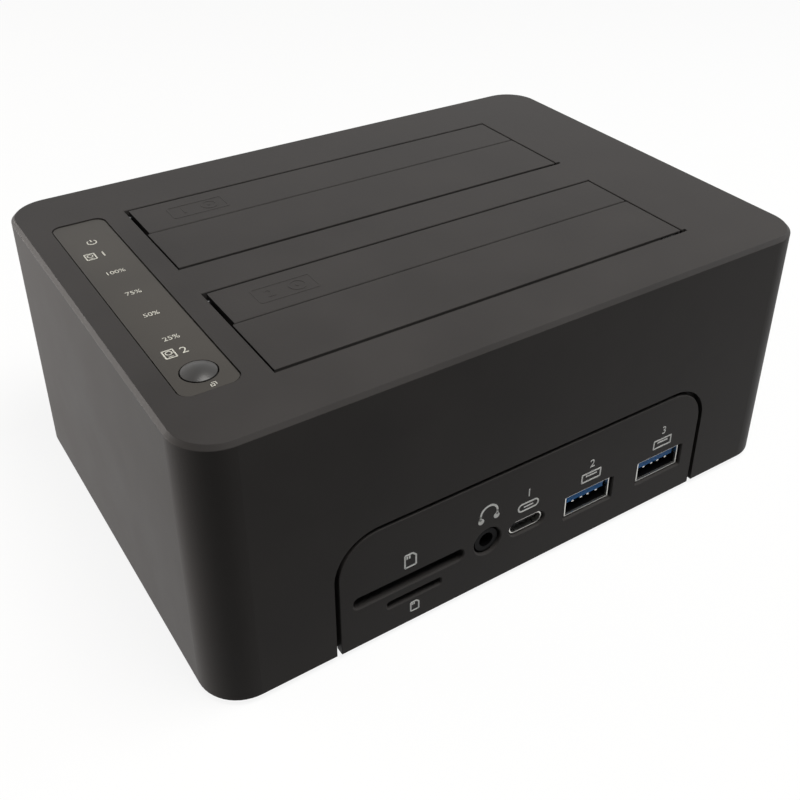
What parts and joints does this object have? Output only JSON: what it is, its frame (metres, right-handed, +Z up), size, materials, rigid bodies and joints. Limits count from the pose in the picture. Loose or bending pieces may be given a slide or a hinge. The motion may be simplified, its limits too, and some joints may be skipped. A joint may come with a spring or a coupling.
{
  "type": "drive duplicator",
  "caption": "Free-standing drive duplicator with sprung doors over its drive bays, an indicator strip with a clone button and a front panel of card, audio and data ports.",
  "frame": {"origin": "centre of the footprint on the plane the feet stand on", "axes": "+X to the right seen from the front, +Y to the rear, +Z up"},
  "size_m": [0.1526, 0.11, 0.0649],
  "materials": {
    "black_housing_plastic": "fine moulded texture",
    "black_well_plastic": "plain moulded",
    "black_socket_plastic": "satin moulded",
    "smoked_overlay": "satin film",
    "gloss_button_plastic": "polished",
    "blue_port_plastic": "moulded",
    "chip_plastic": "moulded",
    "white_plastic": "moulded",
    "clear_plastic": "polished",
    "circuit_board": "solder mask",
    "gold_contacts": "plated",
    "steel_shell": "plated sheet",
    "steel_wire": "drawn",
    "steel_screws": "blackened",
    "aluminium_can": "plain can",
    "rubber_feet": "matte"
  },
  "bodies": {
    "dock": {"housing": "black_housing_plastic", "base_plate": "black_housing_plastic", "front_fascia": "black_housing_plastic", "foot_front_left": "rubber_feet", "foot_front_right": "rubber_feet", "foot_rear_left": "rubber_feet", "foot_rear_right": "rubber_feet", "front_bay_well": "black_well_plastic", "rear_bay_well": "black_well_plastic", "front_drive_socket": "black_socket_plastic", "rear_drive_socket": "black_socket_plastic", "front_drive_contacts": "gold_contacts", "rear_drive_contacts": "gold_contacts", "main_board": "circuit_board", "card_socket": "steel_shell", "small_card_socket": "steel_shell", "audio_jack": "black_socket_plastic", "oval_port_shell": "steel_shell", "oval_port_tongue": "black_socket_plastic", "host_port_shell": "steel_shell", "host_port_tongue": "black_socket_plastic", "wide_port_1_shell": "steel_shell", "wide_port_1_tongue": "blue_port_plastic", "wide_port_2_shell": "steel_shell", "wide_port_2_tongue": "blue_port_plastic", "dc_jack_body": "black_socket_plastic", "dc_jack_pin": "steel_shell", "power_switch_body": "black_socket_plastic", "power_switch_pivot": "steel_wire", "board_chips": "chip_plastic", "board_capacitors": "aluminium_can", "indicator_overlay": "smoked_overlay", "clone_switch_body": "chip_plastic", "indicator_board": "circuit_board", "indicator_leds": "white_plastic", "light_guide": "clear_plastic", "ribbon_headers": "white_plastic", "indicator_ribbon": "white_plastic", "housing_screws": "steel_screws", "board_screws": "steel_screws", "well_screws": "steel_screws", "fascia_screws": "steel_screws", "indicator_board_screws": "steel_screws", "front_bay_front_hinge_pin": "steel_screws", "front_bay_front_spring": "steel_wire", "front_bay_rear_hinge_pin": "steel_screws", "front_bay_rear_spring": "steel_wire", "rear_bay_front_hinge_pin": "steel_screws", "rear_bay_front_spring": "steel_wire", "rear_bay_rear_hinge_pin": "steel_screws", "rear_bay_rear_spring": "steel_wire"},
    "front_bay_front_door": {"front_bay_front_door": "black_housing_plastic"},
    "front_bay_rear_door": {"front_bay_rear_door": "black_housing_plastic"},
    "rear_bay_front_door": {"rear_bay_front_door": "black_housing_plastic"},
    "rear_bay_rear_door": {"rear_bay_rear_door": "black_housing_plastic"},
    "clone_button": {"clone_button": "gloss_button_plastic", "clone_switch_plunger": "black_socket_plastic"},
    "power_rocker": {"power_switch_rocker": "black_socket_plastic"}
  },
  "joints": [
    {"name": "front_bay_front_door_hinge", "type": "hinge", "parent": "dock", "child": "front_bay_front_door", "pos_m": [-0.0007, -0.03855, 0.06245], "axis": [-1, 0, 0], "range_deg": [0, 90], "stiffness_Nm_per_rad": 0.002, "springref_deg": -51.57, "deforming": ["front_bay_front_spring"]},
    {"name": "front_bay_rear_door_hinge", "type": "hinge", "parent": "dock", "child": "front_bay_rear_door", "pos_m": [-0.0007, -0.0087, 0.06245], "axis": [1, 0, 0], "range_deg": [0, 90], "stiffness_Nm_per_rad": 0.002, "springref_deg": -51.57, "deforming": ["front_bay_rear_spring"]},
    {"name": "rear_bay_front_door_hinge", "type": "hinge", "parent": "dock", "child": "rear_bay_front_door", "pos_m": [-0.0007, 0.00645, 0.06245], "axis": [-1, 0, 0], "range_deg": [0, 90], "stiffness_Nm_per_rad": 0.002, "springref_deg": -51.57, "deforming": ["rear_bay_front_spring"]},
    {"name": "rear_bay_rear_door_hinge", "type": "hinge", "parent": "dock", "child": "rear_bay_rear_door", "pos_m": [-0.0007, 0.0363, 0.06245], "axis": [1, 0, 0], "range_deg": [0, 90], "stiffness_Nm_per_rad": 0.002, "springref_deg": -51.57, "deforming": ["rear_bay_rear_spring"]},
    {"name": "clone_press", "type": "slide", "parent": "dock", "child": "clone_button", "axis": [0, 0, -1], "range_m": [0, 0.0006], "stiffness_N_per_m": 50, "springref_m": -0.004},
    {"name": "power_rocker_tip", "type": "hinge", "parent": "dock", "child": "power_rocker", "pos_m": [0.042, 0.04983, 0.0163], "axis": [0, 0, 1], "range_deg": [0, 14]}
  ]
}
